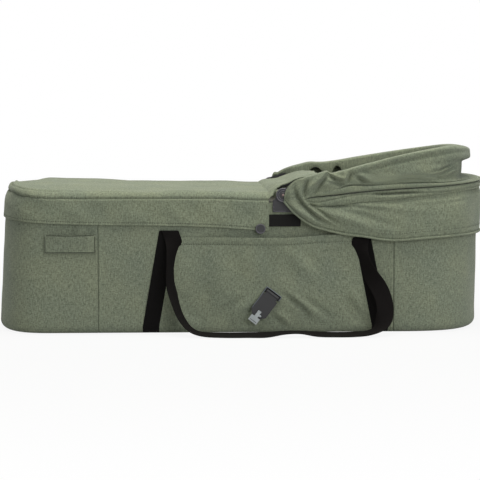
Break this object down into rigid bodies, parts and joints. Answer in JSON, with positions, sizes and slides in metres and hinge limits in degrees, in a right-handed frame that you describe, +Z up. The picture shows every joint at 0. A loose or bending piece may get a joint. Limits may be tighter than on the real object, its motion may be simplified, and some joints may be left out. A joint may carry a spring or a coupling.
{
  "type": "carrycot",
  "caption": "Soft-sided carrycot for a pushchair chassis: fabric tub, padded apron, folding hood on bows, webbing carry handles and swing-out chassis adaptors.",
  "frame": {"origin": "on the ground, under the middle of the tub", "axes": "+X towards the head end, +Z up, -Y is the occupant's left side, which the picture shows"},
  "size_m": [0.8402, 0.4922, 0.3097],
  "materials": {
    "green_cloth": "woven melange",
    "apron_cloth": "woven melange",
    "hood_cloth": "woven melange",
    "lining_cloth": "soft cotton",
    "webbing": "woven tape",
    "hook_tape": "hook tape",
    "black_plastic": "satin",
    "dark_plastic": "satin",
    "grey_plastic": "satin",
    "board": "hardboard",
    "tube": "satin",
    "rivet_metal": "polished"
  },
  "bodies": {
    "tub": {"wall_left": "green_cloth", "wall_right": "green_cloth", "wall_foot": "green_cloth", "wall_head": "green_cloth", "floor_panel": "green_cloth", "base_board": "board", "rim_frame": "tube", "lining": "lining_cloth", "mattress": "lining_cloth", "lift_strap_foot": "webbing", "lift_strap_head": "webbing", "side_pocket_left": "green_cloth", "side_pocket_right": "green_cloth", "tab_pocket_left": "green_cloth", "tab_pocket_right": "green_cloth", "hook_strip_left": "hook_tape", "hook_strip_right": "hook_tape", "stud_post_left": "black_plastic", "stud_post_right": "black_plastic", "hinge_bracket_left": "black_plastic", "hinge_bracket_right": "black_plastic", "hinge_rivet_left": "rivet_metal", "hinge_rivet_right": "rivet_metal", "hood_skirt": "hood_cloth", "adaptor_socket_left": "black_plastic", "adaptor_socket_right": "black_plastic"},
    "apron": {"apron": "apron_cloth", "wind_flap": "apron_cloth", "stud_cap_left": "black_plastic", "stud_cap_right": "black_plastic"},
    "hood_middle": {"middle_bow": "tube", "hood_back_panel": "hood_cloth", "middle_leaf_left": "black_plastic", "middle_leaf_right": "black_plastic"},
    "hood_front": {"front_bow": "tube", "hood_front_panel": "hood_cloth", "front_leaf_left": "black_plastic", "front_leaf_right": "black_plastic"},
    "handle_left": {"handle_left": "webbing"},
    "handle_right": {"handle_right": "webbing"},
    "adaptor_left": {"adaptor_plate_left": "dark_plastic"},
    "adaptor_right": {"adaptor_plate_right": "dark_plastic"},
    "key_left": {"release_key_left": "grey_plastic"},
    "key_right": {"release_key_right": "grey_plastic"}
  },
  "joints": [
    {"name": "apron_lift", "type": "slide", "parent": "tub", "child": "apron", "axis": [-0.5, 0, 0.866], "range_m": [0, 0.2]},
    {"name": "hood_middle_fold", "type": "hinge", "parent": "tub", "child": "hood_middle", "pos_m": [0.0639, 0, 0.2317], "axis": [0, -1, 0], "range_deg": [0, 45]},
    {"name": "hood_front_fold", "type": "hinge", "parent": "hood_middle", "child": "hood_front", "pos_m": [0.0639, 0, 0.2317], "axis": [0, -1, 0], "range_deg": [0, 45]},
    {"name": "handle_left_swing", "type": "hinge", "parent": "tub", "child": "handle_left", "pos_m": [0, -0.18975, 0.147], "axis": [-1, 0, 0], "range_deg": [0, 90]},
    {"name": "handle_right_swing", "type": "hinge", "parent": "tub", "child": "handle_right", "pos_m": [0, 0.18975, 0.147], "axis": [1, 0, 0], "range_deg": [0, 90]},
    {"name": "adaptor_left_swing", "type": "hinge", "parent": "tub", "child": "adaptor_left", "pos_m": [0.0465, -0.1946, 0.066], "axis": [-0.7986, 0, 0.6018], "range_deg": [0, 90]},
    {"name": "adaptor_right_swing", "type": "hinge", "parent": "tub", "child": "adaptor_right", "pos_m": [0.0465, 0.1946, 0.066], "axis": [0.7986, 0, -0.6018], "range_deg": [0, 90]},
    {"name": "key_left_press", "type": "slide", "parent": "adaptor_left", "child": "key_left", "axis": [0.6018, 0, 0.7986], "range_m": [0, 0.004], "stiffness_N_per_m": 150, "springref_m": -0.002},
    {"name": "key_right_press", "type": "slide", "parent": "adaptor_right", "child": "key_right", "axis": [0.6018, 0, 0.7986], "range_m": [0, 0.004], "stiffness_N_per_m": 150, "springref_m": -0.002}
  ],
  "couplings": [
    {"joint": "hood_front_fold", "follows": "hood_middle_fold", "ratio": 1}
  ]
}
